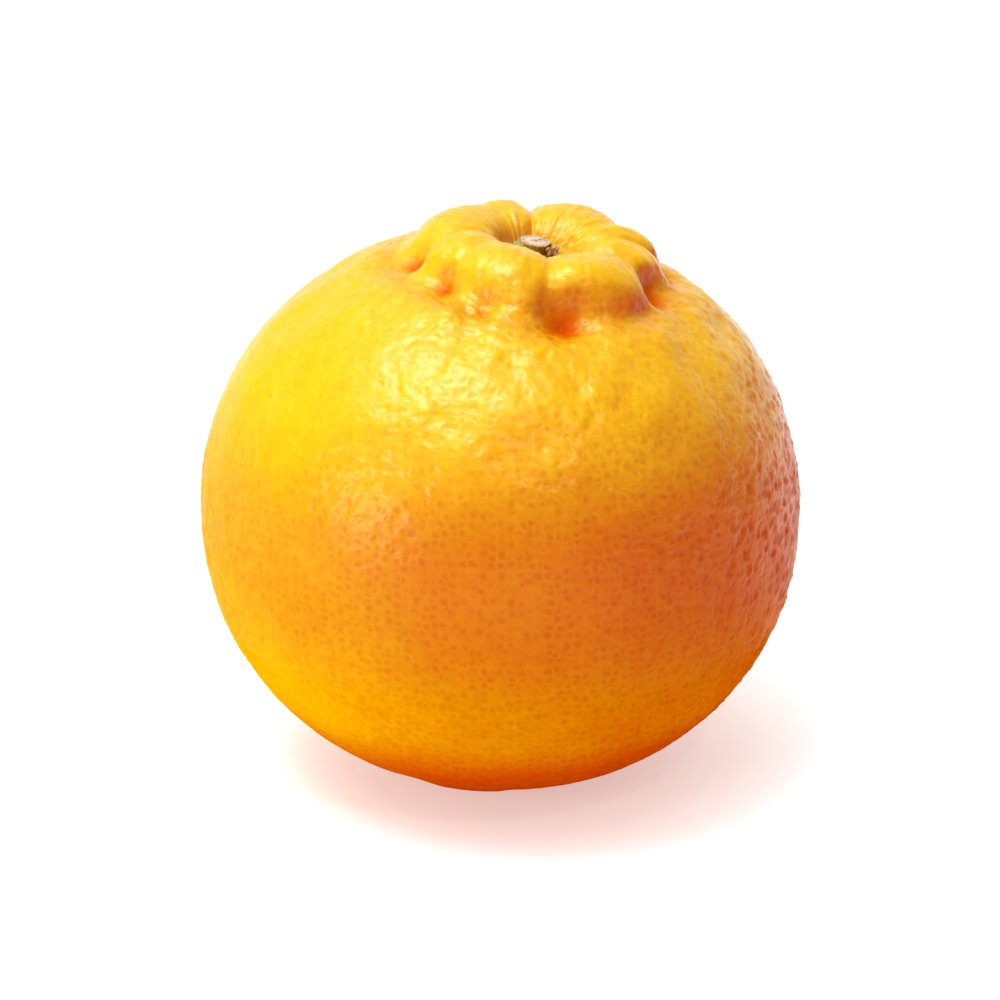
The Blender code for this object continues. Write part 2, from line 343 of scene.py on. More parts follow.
def skin_relief(place, into_stalk, look):
    """How far the skin stands out here in mm, how far its pebbles rise, and the crown's own ripeness with
    painted shade at the crown's foot under the lobes.
    """
    at = place / MM
    seat = into_stalk @ place / MM
    out = math.hypot(seat.x, seat.y)
    on_crown = fade_in(*CROWN_HIGH, seat.z) * fade_out(*CROWN_WIDE, out)
    beside = 1 - on_crown
    puckered = fade_in(*PUCKERS_HIGH, seat.z) * fade_out(*PUCKERS_WIDE, out) * beside
    # the crown's foot under the lobes, where shade is painted
    foot = fade_in(*FOOT_HIGH, seat.z) * fade_out(*FOOT_WIDE, out) * beside
    right = fade_in(*RIGHT_SIDE, at.x)
    low = fade_out(*LOWER_SIDE, at.z)
    high_left = fade_out(*LEFT_SIDE, at.x) * fade_in(*UPPER_SIDE, at.z)
    patch = pattern_at(at, PATCHES)

    swell = pattern_at(at, SWELLS) * (SWELL_HEIGHT + SWELL_HEIGHT_RIGHT * right)
    relief = swell * (1 - 0.5 * on_crown)

    # pebbles, flatter low on the fruit, on the crown and high on the left
    flat = Vector((at.x, at.y, at.z * PEBBLE_SQUASH)) * MM / look.pebble_size
    pebble = noise.noise(flat) + 0.45 * noise.noise(flat * FINE_PEBBLES + Vector((4.0, 9.0, 2.0)))
    pebble *= (0.85 + 0.25 * right + 0.5 * patch) * (1 - 0.75 * low)
    pebble *= (1 - 0.45 * on_crown) * (1 - 0.4 * high_left)
    relief += look.pebble_height / MM * pebble

    # lying dents, twice as wide as they are high
    dent = fade_in(*DENT_EDGE, pattern_at(at, DENTS)) * (0.5 + patch) * (1 - low) * beside
    relief -= look.dent_depth / MM * dent

    # thin crumpled ridges on the right side
    ridge = fade_in(*RIDGE_EDGE, 1 - 2 * abs(pattern_at(at, RIDGES)))
    ridged = fade_in(*RIDGED_SIDE, at.x) * fade_in(*RIDGED_FROM, at.z) * fade_out(*RIDGED_TO, at.z)
    relief += RIDGE_HEIGHT * ridge * ridged

    # puckers round the crown's foot
    pucker = pattern_at(at, PUCKERS) + 0.5 * pattern_at(at, FINE_PUCKERS)
    relief += look.pucker_height / MM * pucker * puckered

    # radial wrinkles and folds run over the lobes into the hollow
    if out > 0.5:
        around = seat.xy / out
        wrinkle = flat_noise(around, WRINKLE_FINENESS, out / WRINKLE_LENGTH)
        fold = flat_noise(around, FOLD_FINENESS, out / FOLD_LENGTH + 7.0)
        relief += look.wrinkle_height / MM * wrinkle * on_crown
        relief += look.pucker_height / MM * FOLD_SHARE * fold * on_crown
    return relief, pebble, RIPE_CROWN * on_crown + PAINTED_SHADE_FOOT * foot


def ripeness_with_painted_light(normal):
    """The ripeness of skin that faces this way, from about 0 where it is orange to 1 where it is yellow, with
    the lamps' light and shade painted in by that facing.
    """
    facing_up = fade_in(*LIT_FACING_UP, normal.z)
    ripe = RIPE_MIDDLE + RIPE_AND_SHADED_RIGHT * normal.x * (1 - 0.3 * facing_up) + RIPE_SIDES * normal.x**2
    ripe += RIPE_AND_LIT_TOP * facing_up + PAINTED_SHADE_LOW * fade_in(*SHADED_FACING_DOWN, -normal.z)
    return ripe + PAINTED_BOUNCE_UNDER * fade_in(*BOUNCE_FACING_UNDER, -normal.z)


def rind_mesh(look):
    """The rind: the solid's own form, rounded off and given the uneven skin."""
    bm = subdivided(rind_cage(), ROUNDING_LEVELS)
    into_stalk = stalk_frame().inverted()
    rise = bm.verts.layers.float.new("rise")
    ripe = bm.verts.layers.float.new("ripe")
    hollow = bm.verts.layers.float["hollow"]
    bm.normal_update()
    moves = []
    for vert in bm.verts:
        relief, vert[rise], crown_ripeness_and_foot_shade = skin_relief(vert.co, into_stalk, look)
        # painted light and shade from the way the skin faces the lamps, over its ripening
        vert[ripe] = crown_ripeness_and_foot_shade + ripeness_with_painted_light(vert.normal)
        relief -= look.crease_depth / MM * fade_in(*CREASED, vert[hollow])
        # what rests on the ground stays flat
        moves.append(vert.normal * relief * MM * fade_in(*RESTING, vert.co.z / MM))
        # less painted crease shade falls in the stalk's own hollow than in the creases outside it
        outside = fade_in(*STALK_HOLLOW_WIDE, (into_stalk @ vert.co / MM).xy.length)
        vert[hollow] *= STALK_HOLLOW_SHARE + (1 - STALK_HOLLOW_SHARE) * outside
    # and nothing stands out past the solids' box
    lowest, highest = (Vector(corner) for corner in CAD_BOX)
    for vert, move in zip(bm.verts, moves):
        moved = vert.co + move
        vert.co = [min(max(at, low), high) for at, low, high in zip(moved, lowest, highest)]
    return bm


# the zest's patterns: their widths, and how strong each is
PATCH_WIDTH = 14 * MM
PATCH_DRIFT = 0.32
PATCH_MEAN = 0.17
WOBBLE_WIDTH = 1.5 * MM
WOBBLE = 0.4 * MM
GLANDS_UNEVEN = 0.65
DIMPLE_SPACING = 2.0 * MM
DIMPLES_UNEVEN = 0.75
# painted shade at the bottom of the dimples
DIMPLE_SHADE = 0.5
SCAR_RAGGED_WIDTH = 0.9 * MM
SCAR_RAGGED = 1.2 * MM
FLAKE_WIDTH = 1.3 * MM
FLAKE_SQUASH = (1.0, 1.0, 1.5)
PORE_WIDTH = 0.35 * MM
# heights as shares of the pits' depth
DIMPLE_HEIGHT = 7.0
FLAKE_HEIGHT = 2.8
PORE_HEIGHT = 0.10
# ranges: where each starts and ends, and then the values that it has there if they aren't 0 and 1
# painted shade between the pebbles
PEBBLE_SHADE = (-0.35, 0.25, 0.20, 0.0)
GLAND_DOT = (0.0, 0.95, 1.0, 0.0)
DOTS_FADE = (0.35, 0.85, 0.42, 0.12)
GLAND_PIT = (0.0, 0.9)
DIMPLE_WALL = (0.05, 0.55)
# where painted shade shows in the creases, in mm under the smoothed form
CREASE_SHADE_SHOWS = (-0.1, 1.8)
SCAR_EDGE = (0.9 * MM, 1.3 * MM, 1.0, 0.0)
NETTED_RIGHT = (22 * MM, 36 * MM)
PITS_DEEPEN = (2 * MM, 36 * MM, 1.0, 2.6)
WAX_UP = (22 * MM, 54 * MM)
WAX_RIGHT = (-38 * MM, -14 * MM, 0.25, 1.0)


def gland_fields(tree, place, look):
    """The way out from the oil glands, 0 over one and 1 halfway to the next, and out of the large dimples."""
    wobble = noisy(tree, place, WOBBLE_WIDTH, 1.0)[1]
    inputs = {0: wobble, 1: (WOBBLE, WOBBLE, WOBBLE), 2: place}
    bent = add_node(tree, "ShaderNodeVectorMath", inputs, operation="MULTIPLY_ADD").outputs[0]
    nearest = off_cells(tree, bent, look.gland_spacing, GLANDS_UNEVEN)
    second = off_cells(tree, bent, look.gland_spacing, GLANDS_UNEVEN, "F2")
    dimple = off_cells(tree, bent, DIMPLE_SPACING, DIMPLES_UNEVEN)
    outward = calculated(tree, "DIVIDE", nearest, second)
    return outward, ranged(tree, dimple, *DIMPLE_WALL, kind="SMOOTHSTEP")


def rind_colour(tree, look, place, outward, bottom, crease_shade):
    """The rind's colour: yellow where it ripened and faces the lamps and orange where it faces away, so
    partly painted light and shade, with its marks.
    """
    drift = noisy(tree, place, PATCH_WIDTH, 3.0)[0]
    ripe = calculated(tree, "MULTIPLY_ADD", drift, PATCH_DRIFT, attribute(tree, "ripe"))
    ripe = calculated(tree, "SUBTRACT", ripe, PATCH_MEAN)
    stops = [
        (0.0, look.under_side),
        (0.2, look.shade_side),
        (0.42, look.middle),
        (0.78, look.sun_side),
        (1.0, look.sun_spot),
    ]
    ground = ramped(tree, ripe, stops)
    # the skin is darker over its glands, and painted shade darkens it between its raised pebbles and at the
    # bottom of its dimples
    between = ranged(tree, attribute(tree, "rise"), *PEBBLE_SHADE)
    dot = ranged(tree, outward, *GLAND_DOT, kind="SMOOTHSTEP")
    # the glands show less where the skin is yellow
    dot = calculated(tree, "MULTIPLY", dot, ranged(tree, ripe, *DOTS_FADE))
    for share in (between, dot, bottom):
        ground = tinted(tree, share, ground, look.gland_and_shade_tint, "MULTIPLY")
    # painted shade: the creases between the lobes get a deep orange
    ground = tinted(tree, crease_shade, ground, look.crease_shade_colour)
    # the blossom end's dry scar is ragged at its edge
    ragged = noisy(tree, place, SCAR_RAGGED_WIDTH, 3.0)[0]
    reach = calculated(tree, "MULTIPLY_ADD", ragged, -SCAR_RAGGED, length_of(tree, place))
    return tinted(tree, ranged(tree, reach, *SCAR_EDGE), ground, look.scar_colour)


def rind_bump(tree, look, place, across, outward, dimple, netted):
    """The finest relief: low ridges round the glands' pits, dimples, soft flat flakes and pores."""
    height = ranged(tree, outward, *GLAND_PIT, kind="SMOOTHSTEP")
    # the pits deepen towards the right
    height = calculated(tree, "MULTIPLY", height, ranged(tree, across, *PITS_DEEPEN))
    deep = calculated(tree, "MULTIPLY", netted, DIMPLE_HEIGHT)
    height = calculated(tree, "MULTIPLY_ADD", dimple, deep, height)
    flakes = noisy(tree, scaled(tree, place, FLAKE_SQUASH), FLAKE_WIDTH, 1.0, 0.4)[0]
    height = calculated(tree, "MULTIPLY_ADD", flakes, FLAKE_HEIGHT, height)
    pores = noisy(tree, place, PORE_WIDTH, 1.0)[0]
    height = calculated(tree, "MULTIPLY_ADD", pores, PORE_HEIGHT, height)
    return bumped(tree, height, look.pit_depth)


def rind_wax(tree, across, high, bottom, crease_shade, netted):
    """How much wax lies on the skin: little low on the fruit, on the left, in creases and in dimples."""
    waxed = ranged(tree, high, *WAX_UP)
    off_creases = calculated(tree, "SUBTRACT", 1.0, crease_shade)
    off_dimples = calculated(tree, "MULTIPLY_ADD", bottom, -1.4, 1.0)
    thick = calculated(tree, "MULTIPLY_ADD", netted, 0.25, ranged(tree, across, *WAX_RIGHT))
    for share in (off_creases, off_dimples, thick):
        waxed = calculated(tree, "MULTIPLY", waxed, share)
    return waxed


def rind_material(look):
    """Citrus zest, grown and not made: thin waxy skin over oil glands, which break its gloss into flakes."""
    material, tree = new_material("Waxy citrus zest")
    place = object_place(tree)
    across, _, high = split(tree, place)
    outward, dimple = gland_fields(tree, place, look)
    # the dimples cover the right limb like a net
    netted = ranged(tree, across, *NETTED_RIGHT)
    # painted shade at the bottom of the dimples on the right limb
    bottom = calculated(tree, "MULTIPLY_ADD", dimple, -DIMPLE_SHADE, DIMPLE_SHADE)
    bottom = calculated(tree, "MULTIPLY", bottom, netted)
    # painted shade in the creases, from how deep they lie
    crease_shade = ranged(tree, attribute(tree, "hollow"), *CREASE_SHADE_SHOWS, kind="SMOOTHSTEP")
    bump = rind_bump(tree, look, place, across, outward, dimple, netted)
    waxed = rind_wax(tree, across, high, bottom, crease_shade, netted)
    inputs = {
        "Base Color": rind_colour(tree, look, place, outward, bottom, crease_shade),
        "Roughness": 0.32,
        "IOR": 1.46,
        "Specular IOR Level": calculated(tree, "MULTIPLY", waxed, 0.08),
        "Normal": bump,
        "Subsurface Weight": 0.6,
        "Subsurface Radius": (1.0, 0.35, 0.06),
        "Subsurface Scale": 2.6 * MM,
        "Coat Weight": calculated(tree, "MULTIPLY", waxed, 0.95),
        "Coat Roughness": 0.32,
        "Coat IOR": 1.54,
        "Coat Normal": bump,
    }
    add_surface(tree, inputs, subsurface_method="BURLEY")
    return material


class RindLook(bpy.types.PropertyGroup):
    """Sizes and colours of the rind."""

    pebble_size: FloatProperty(
        name="Pebble size", description="Width of one soft pebble of the skin",
        default=0.95 * MM, min=0.5 * MM, max=6 * MM, subtype="DISTANCE", unit="LENGTH",
    )
    pebble_height: FloatProperty(
        name="Pebble height", description="How far the pebbles stand out",
        default=0.15 * MM, min=0, max=1 * MM, subtype="DISTANCE", unit="LENGTH",
    )
    dent_depth: FloatProperty(
        name="Dent depth", description="Depth of the lying dents",
        default=0.30 * MM, min=0, max=1 * MM, subtype="DISTANCE", unit="LENGTH",
    )
    crease_depth: FloatProperty(
        name="Crease depth", description="How much deeper the creases and pockets are than in the solid",
        default=0.12 * MM, min=0, max=1 * MM, subtype="DISTANCE", unit="LENGTH",
    )
    wrinkle_height: FloatProperty(
        name="Wrinkle height", description="Height of the fine wrinkles on the lobes",
        default=0.22 * MM, min=0, max=1 * MM, subtype="DISTANCE", unit="LENGTH",
    )
    pucker_height: FloatProperty(
        name="Pucker height", description="Height of the puckers round the crown's foot",
        default=0.25 * MM, min=0, max=1 * MM, subtype="DISTANCE", unit="LENGTH",
    )
    gland_spacing: FloatProperty(
        name="Gland spacing", description="Distance from one oil gland to the next",
        default=1.15 * MM, min=0.3 * MM, max=4 * MM, subtype="DISTANCE", unit="LENGTH",
    )
    pit_depth: FloatProperty(
        name="Pit depth", description="Depth of the pit at each oil gland",
        default=0.035 * MM, min=0, max=0.5 * MM, subtype="DISTANCE", unit="LENGTH",
    )
    # these colours are laid out by the way the skin faces, so besides its ripening they paint the lamps'
    # light on top and at the left and shade at the right and underneath
    sun_spot: FloatVectorProperty(
        name="Sun spot", description="Colour where the light was strongest",
        default=linear("E8BE0C"), size=4, min=0, max=1, subtype="COLOR",
    )
    sun_side: FloatVectorProperty(
        name="Sun side", description="Colour of the side that ripened in the light",
        default=linear("E4B20A"), size=4, min=0, max=1, subtype="COLOR",
    )
    middle: FloatVectorProperty(
        name="Middle", description="Colour between the two sides",
        default=linear("D29004"), size=4, min=0, max=1, subtype="COLOR",
    )
    shade_side: FloatVectorProperty(
        name="Shade side", description="Colour of the side that hung in the shade",
        default=linear("CE7A04"), size=4, min=0, max=1, subtype="COLOR",
    )
    under_side: FloatVectorProperty(
        name="Underside", description="Colour of the underside",
        default=linear("C86202"), size=4, min=0, max=1, subtype="COLOR",
    )
    # the glands' own tint, which also darkens the painted shade between the pebbles and in the dimples
    gland_and_shade_tint: FloatVectorProperty(
        name="Oil glands", description="Tint that an oil gland gives the skin over it",
        default=linear("EEA452"), size=4, min=0, max=1, subtype="COLOR",
    )
    # painted shade at the bottom of the creases
    crease_shade_colour: FloatVectorProperty(
        name="Creases", description="Colour at the bottom of the creases",
        default=linear("C85400"), size=4, min=0, max=1, subtype="COLOR",
    )
    scar_colour: FloatVectorProperty(
        name="Scar", description="Colour of the dry scar at the blossom end",
        default=linear("6B4A24"), size=4, min=0, max=1, subtype="COLOR",
    )


class FRUIT_OT_rind(bpy.types.Operator):
    """Give the fruit its uneven, oily rind"""

    bl_idname = "fruit.rind"
    bl_label = "Rind"

    def execute(self, context):
        look = context.scene.rind_look
        finish_piece("rind", rind_mesh(look), [rind_material(look)], "fruit")
        return {"FINISHED"}


# the calyx

CALYX_HEIGHT = 35.2 * MM  # of the calyx over the body's middle, along the stalk
CALYX_COLUMNS = 120
CALYX_RINGS = 14
CALYX_WAIST = 2.55 * MM
CALYX_THICKNESS = 0.26 * MM
WAIST_RISE = 0.25 * MM
DISC_SAME_PLACE = 1e-5  # on a disc of radius 1
# each sepal's direction in degrees, its reach and the rise of its tip in mm, and how torn it is
SEPALS = (
    (-167, 4.2, 1.15, 0.5),
    (-98, 3.1, 0.20, 0.9),
    (-26, 4.1, 1.25, 1.0),
    (44, 4.3, 0.95, 0.6),
    (118, 4.3, 0.90, 0.7),
)
SEPAL_HALF_WIDTH = math.radians(33)
SEPAL_FULLNESS = 0.7  # 1 for straight sides up to the tip, and less for fuller sides
SEPAL_CURL = 4.5  # how late towards the edge a sepal turns up
SEPAL_TEAR = 0.22  # the share of its reach that a fully torn sepal loses at most
TEAR_FINENESS = 9
VEINS = 15
VEIN_HEIGHT = 0.05 * MM
CRUMPLE_HEIGHT = 0.16 * MM
CRUMPLE_FINENESS = 4.5
# torn bits that the cut left standing: direction in degrees, distance, height, width and length in mm
CRUMBS = (
    (-44, 2.25, 1.70, 0.34, 0.55),
    (-40, 2.45, 1.20, 0.40, 0.60),
    (-24, 2.60, 1.85, 0.46, 0.66),
    (-18, 2.45, 1.25, 0.44, 0.66),
    (-8, 2.95, 1.55, 0.36, 0.60),
    (4, 2.75, 1.30, 0.34, 0.60),
    (-172, 2.90, 0.95, 0.36, 0.80),
    (160, 2.65, 0.80, 0.40, 0.70),
)
CRUMB_RADIUS = 0.5 * MM
CRUMB_DEPTH = 1.5  # times its width
CRUMB_LENGTH = 1.6  # times the length in the list
CRUMB_LEAN = 26  # degrees
CRUMB_LEAN_SWING = 17  # degrees more or less from bit to bit
CRUMB_ROUGHNESS = 0.17 * MM
CRUMB_ROUGH_WIDTH = 0.22 * MM


def sepals_at(azimuth):
    """How far the calyx reaches in this direction, and how far its edge turns up there."""
    reach, rise = CALYX_WAIST, WAIST_RISE
    for direction, tip_reach, tip_rise, torn in SEPALS:
        off = math.remainder(azimuth - math.radians(direction), math.tau) / SEPAL_HALF_WIDTH
        share = max(0.0, 1 - abs(off)) ** SEPAL_FULLNESS
        lost = (1 + noise.noise(Vector((azimuth * TEAR_FINENESS, torn, 2.0)))) / 2
        tip = tip_reach * MM * (1 - SEPAL_TEAR * torn * lost)
        reach = max(reach, CALYX_WAIST + share * (tip - CALYX_WAIST))
        rise = max(rise, share * tip_rise * MM)
    return reach, rise


def calyx_disc():
    """The calyx as a thin disc that runs out into five torn, curled sepals."""
    bm = bmesh.new()
    line = [bm.verts.new((ring / CALYX_RINGS, 0, 0)) for ring in range(CALYX_RINGS + 1)]
    edges = [bm.edges.new(pair) for pair in zip(line, line[1:])]
    whole = {"cent": (0, 0, 0), "axis": (0, 0, 1), "angle": math.tau, "steps": CALYX_COLUMNS}
    bmesh.ops.spin(bm, geom=line + edges, use_merge=True, **whole)
    bmesh.ops.remove_doubles(bm, verts=bm.verts, dist=DISC_SAME_PLACE)
    for vert in bm.verts:
        out = vert.co.xy.length
        azimuth = math.atan2(vert.co.y, vert.co.x)
        reach, rise = sepals_at(azimuth)
        vein = VEIN_HEIGHT * math.cos(VEINS * azimuth) * out**2
        crumple = CRUMPLE_HEIGHT * flat_noise(vert.co, CRUMPLE_FINENESS, 3.0) * out
        height = CALYX_HEIGHT + rise * out**SEPAL_CURL + vein + crumple
        vert.co = (reach * out * math.cos(azimuth), reach * out * math.sin(azimuth), height)
    bmesh.ops.recalc_face_normals(bm, faces=bm.faces)
    bmesh.ops.solidify(bm, geom=bm.faces[:], thickness=CALYX_THICKNESS)
    return bm


def add_crumb(bm, crumb, seed):
    """One torn, corky bit: a small ball made rough, pulled long, and stood beside the stalk."""
    direction, out, high, width, length = crumb
    made = bmesh.ops.create_icosphere(bm, subdivisions=3, radius=CRUMB_RADIUS)["verts"]
    torn = bm.verts.layers.float["torn"]
    for vert in made:
        vert[torn] = 1.0
        rough = noise.noise(vert.co / CRUMB_ROUGH_WIDTH + Vector((seed, 2 * seed, 0.0)))
        vert.co += vert.co.normalized() * CRUMB_ROUGHNESS * rough
    shape = Matrix.Diagonal((width, width * CRUMB_DEPTH, length * CRUMB_LENGTH, 1.0))
    angle = math.radians(CRUMB_LEAN + CRUMB_LEAN_SWING * math.sin(seed * 2.3))
    lean = Matrix.Rotation(angle, 4, "Y")
    place = Matrix.Translation((out * MM, 0, CALYX_HEIGHT + high * MM))
    around = Matrix.Rotation(math.radians(direction), 4, "Z")
    bmesh.ops.transform(bm, verts=made, matrix=around @ place @ lean @ shape)


def calyx_mesh():
    """The dry calyx under the stalk, with its torn bits, in its place on the fruit."""
    bm = calyx_disc()
    bm.verts.layers.float.new("torn")
    for index, crumb in enumerate(CRUMBS):
        add_crumb(bm, crumb, index + 1.0)
    bmesh.ops.transform(bm, verts=bm.verts, matrix=stalk_frame())
    return bm


def calyx_material(look):
    """Dried calyx tissue, grown green and weathered: dull olive, brown in its folds, pale where it tore."""
    material, tree = new_material("Dried calyx tissue")
    blotch = noisy(tree, object_place(tree), 0.8 * MM, 4.0, 0.65)[0]
    stops = [(0.30, look.fold_colour), (0.52, look.leaf_colour), (0.66, look.torn_colour)]
    tone = ramped(tree, blotch, stops)
    # edges that stick out tore off pale, and so did the loose bits
    edge = add_node(tree, "ShaderNodeNewGeometry").outputs["Pointiness"]
    pale = ranged(tree, edge, 0.50, 0.62)
    loose = calculated(tree, "MULTIPLY", attribute(tree, "torn"), 0.8)
    for share in (pale, loose):
        tone = tinted(tree, share, tone, look.torn_colour)
    bump = bumped(tree, blotch, 0.08 * MM)
    add_surface(tree, {"Base Color": tone, "Roughness": 0.72, "Normal": bump})
    return material


class CalyxLook(bpy.types.PropertyGroup):
    """Colours of the calyx."""

    leaf_colour: FloatVectorProperty(
        name="Leaf", description="Colour of the dried sepals",
        default=linear("7C6A34"), size=4, min=0, max=1, subtype="COLOR",
    )
    fold_colour: FloatVectorProperty(
        name="Folds", description="Colour in the calyx's folds",
        default=linear("3A2814"), size=4, min=0, max=1, subtype="COLOR",
    )
    torn_colour: FloatVectorProperty(
        name="Torn edges", description="Colour of the torn, corky edges",
        default=linear("E0BC92"), size=4, min=0, max=1, subtype="COLOR",
    )


class FRUIT_OT_calyx(bpy.types.Operator):
    """Put the dry, torn calyx under the stalk"""

    bl_idname = "fruit.calyx"
    bl_label = "Calyx"

    def execute(self, context):
        look = context.scene.calyx_look
        finish_piece("calyx_leaves", calyx_mesh(), [calyx_material(look)], "calyx")
        return {"FINISHED"}


# the stalk

STALK_FOOT = 35.8 * MM  # over the body's middle, along the stalk
STALK_SIDES = 96
# radius and height over the foot in mm, from the foot up to the rim of the cut
STALK_RINGS = (
    (2.32, 0.0), (2.16, 0.18), (2.02, 0.36), (1.95, 0.56), (1.93, 0.78),
    (1.95, 1.00), (1.99, 1.22), (2.00, 1.38), (1.96, 1.50), (1.88, 1.56),
)
# the same for the rings of the cut, in to its pith
CUT_RINGS = (
    (1.74, 1.55), (1.60, 1.50), (1.44, 1.53), (1.28, 1.56), (1.12, 1.55), (0.96, 1.57),
    (0.80, 1.56), (0.64, 1.58), (0.48, 1.57), (0.34, 1.54), (0.22, 1.48), (0.11, 1.45),
)
RIM = STALK_RINGS[-1][0] * MM
CUT_SLOPE = 0.02  # how steeply the cut rises to the back
CUT_FACING = 0.45  # faces that look up at least this much belong to the cut
CUT_FROM = 1.0 * MM  # over the foot
# relief of the bark as a share of the radius
RIBS = ((0.05, 5, 0.6), (0.03, 9, 2.0))  # height, number round the stalk and start in radians
FIBRES = ((0.06, 5, 1.3), (0.035, 14, 0.5))  # height, fineness round the stalk and length in mm
SWOLLEN_FOOT = 0.32
SWOLLEN_LEFT = (0.2, 0.9)
SWOLLEN_TO = (0.5, 1.2)  # mm over the foot
CHIP_DEPTH = 0.10
CHIP_EDGE = (0.25, 0.6)
FULL_FROM = 1.4  # mm over the foot, from where the chips and the cut's slope are full
# relief of the cut
CUT_EDGE = (0.93 * RIM, RIM)
RAY_HEIGHT = 0.035 * MM
RAY_FINENESS = 9
RAY_LENGTH = 2.5 * MM
CRACK_DEPTH = 0.16 * MM
CRACK_FINENESS = 3.1
CRACK_LENGTH = 3.0 * MM
CRACK_EDGE = (0.30, 0.42)
GRAIN_HEIGHT = 0.05 * MM
GRAIN_WIDTH = 0.35 * MM


def stalk_rings():
    """The stalk drawn up ring by ring from its foot to the rim of the cut, and in to the pith."""
    bm = bmesh.new()
    bmesh.ops.create_circle(bm, cap_ends=True, segments=STALK_SIDES, radius=STALK_RINGS[0][0] * MM)
    top = bm.faces[:]
    rings = STALK_RINGS + CUT_RINGS
    for (below, low), (radius, high) in zip(rings, rings[1:]):
        made = bmesh.ops.extrude_face_region(bm, geom=top)["geom"]
        # the first face stays and closes the foot
        if low:
            bmesh.ops.delete(bm, geom=top, context="FACES_ONLY")
        ring = [part for part in made if isinstance(part, bmesh.types.BMVert)]
        top = [part for part in made if isinstance(part, bmesh.types.BMFace)]
        bmesh.ops.scale(bm, verts=ring, vec=(radius / below, radius / below, 1))
        bmesh.ops.translate(bm, verts=ring, vec=(0, 0, (high - low) * MM))
    bmesh.ops.poke(bm, faces=top)
    bmesh.ops.recalc_face_normals(bm, faces=bm.faces)
    return bm


def bark_relief(azimuth, way, level):
    """How far the bark stands out in this direction, at this level in mm, as a share of the radius."""
    relief = sum(height * math.sin(number * azimuth + start) for height, number, start in RIBS)
    relief += sum(height * flat_noise(way, fineness, level / length) for height, fineness, length in FIBRES)
    # the foot swells out on the left
    relief += SWOLLEN_FOOT * fade_in(*SWOLLEN_LEFT, -way.x) * fade_out(*SWOLLEN_TO, level)
    chip = fade_in(*CHIP_EDGE, noise.noise(way * 2.2 + Vector((4.0, 0.0, 7.0))))
    return relief - CHIP_DEPTH * chip * min(1.0, level / FULL_FROM) ** 3


def cut_relief(way, out, place):
    """How far the cut stands up here: its grain, and rays and drying cracks that run out from the pith."""
    ray = flat_noise(way, RAY_FINENESS, out / RAY_LENGTH)
    crack = fade_in(*CRACK_EDGE, flat_noise(way, CRACK_FINENESS, 5.0 + out / CRACK_LENGTH))
    grain = flat_noise(place, 1 / GRAIN_WIDTH, 1.0)
    return RAY_HEIGHT * ray - CRACK_DEPTH * crack + GRAIN_HEIGHT * grain


def stalk_mesh():
    """The cut stalk with its ribbed bark and its cracked cut, in its place on the fruit."""
    bm = stalk_rings()
    for vert in bm.verts:
        azimuth = math.atan2(vert.co.y, vert.co.x)
        out = vert.co.xy.length
        level = vert.co.z / MM
        way = Vector((math.cos(azimuth), math.sin(azimuth), 0.0))
        bark = bark_relief(azimuth, way, level)
        vert.co.xy = vert.co.xy * (1 + bark * fade_in(0.2, 0.8, out / RIM))
        vert.co.z += cut_relief(way, out, vert.co) * fade_out(*CUT_EDGE, out)
        vert.co.z += min(1.0, level / FULL_FROM) * CUT_SLOPE * vert.co.y + STALK_FOOT
    bm.normal_update()
    for face in bm.faces:
        middle = face.calc_center_median()
        on_cut = face.normal.z > CUT_FACING and middle.z > STALK_FOOT + CUT_FROM
        face.material_index = int(on_cut)
    bmesh.ops.transform(bm, verts=bm.verts, matrix=stalk_frame())
    return bm


def stalk_place(tree):
    """The place on the stalk, measured from its own axis."""
    turn = stalk_frame().inverted()
    inputs = {"Vector": object_place(tree), "Location": turn.translation, "Rotation": turn.to_euler()}
    return add_node(tree, "ShaderNodeMapping", inputs).outputs[0]


def bark_material(look):
    """Young citrus bark, grown green and dried: smooth olive with corky brown strips along the stalk."""
    material, tree = new_material("Young green bark")
    place = stalk_place(tree)
    streak = noisy(tree, scaled(tree, place, (1.0, 1.0, 0.30)), 0.45 * MM, 4.0, 0.6)[0]
    # the stalk browns towards the right, where the cut tore it
    browning = ranged(tree, split(tree, place)["X"], -2.0 * MM, 2.2 * MM, -0.22, 0.22)
    stops = [(0.25, look.green), (0.45, look.olive), (0.62, look.brown), (0.80, look.cork)]
    tone = ramped(tree, calculated(tree, "ADD", streak, browning), stops)
    bump = bumped(tree, streak, 0.07 * MM)
    add_surface(tree, {"Base Color": tone, "Roughness": 0.62, "Normal": bump})
    return material


def cut_material(look):
    """Cut stalk wood, sheared and dried: pale and matt, with a dark line under the bark and dark specks."""
    material, tree = new_material("Dry cut stalk wood")
    flat = scaled(tree, stalk_place(tree), (1.0, 1.0, 0.0))
    grain = noisy(tree, flat, 0.28 * MM, 4.0, 0.7)[0]
    # the rings go round the pith, a little wavy
    out = calculated(tree, "MULTIPLY_ADD", grain, 0.30 * MM, length_of(tree, flat))
    stops = [
        (0.0, look.pith),
        (0.16, look.wood),
        (0.52, look.wood_light),
        (0.70, look.wood),
        (0.78, look.ring),
        (0.84, look.wood_light),
        (1.0, look.brown),
    ]
    rings = ramped(tree, calculated(tree, "DIVIDE", out, 2.3 * MM), stops)
    speck = ranged(tree, grain, 0.34, 0.43, 0.75, 0.0)
    tone = tinted(tree, speck, rings, look.pith)
    bump = bumped(tree, grain, 0.08 * MM)
    add_surface(tree, {"Base Color": tone, "Roughness": 0.8, "Normal": bump})
    return material


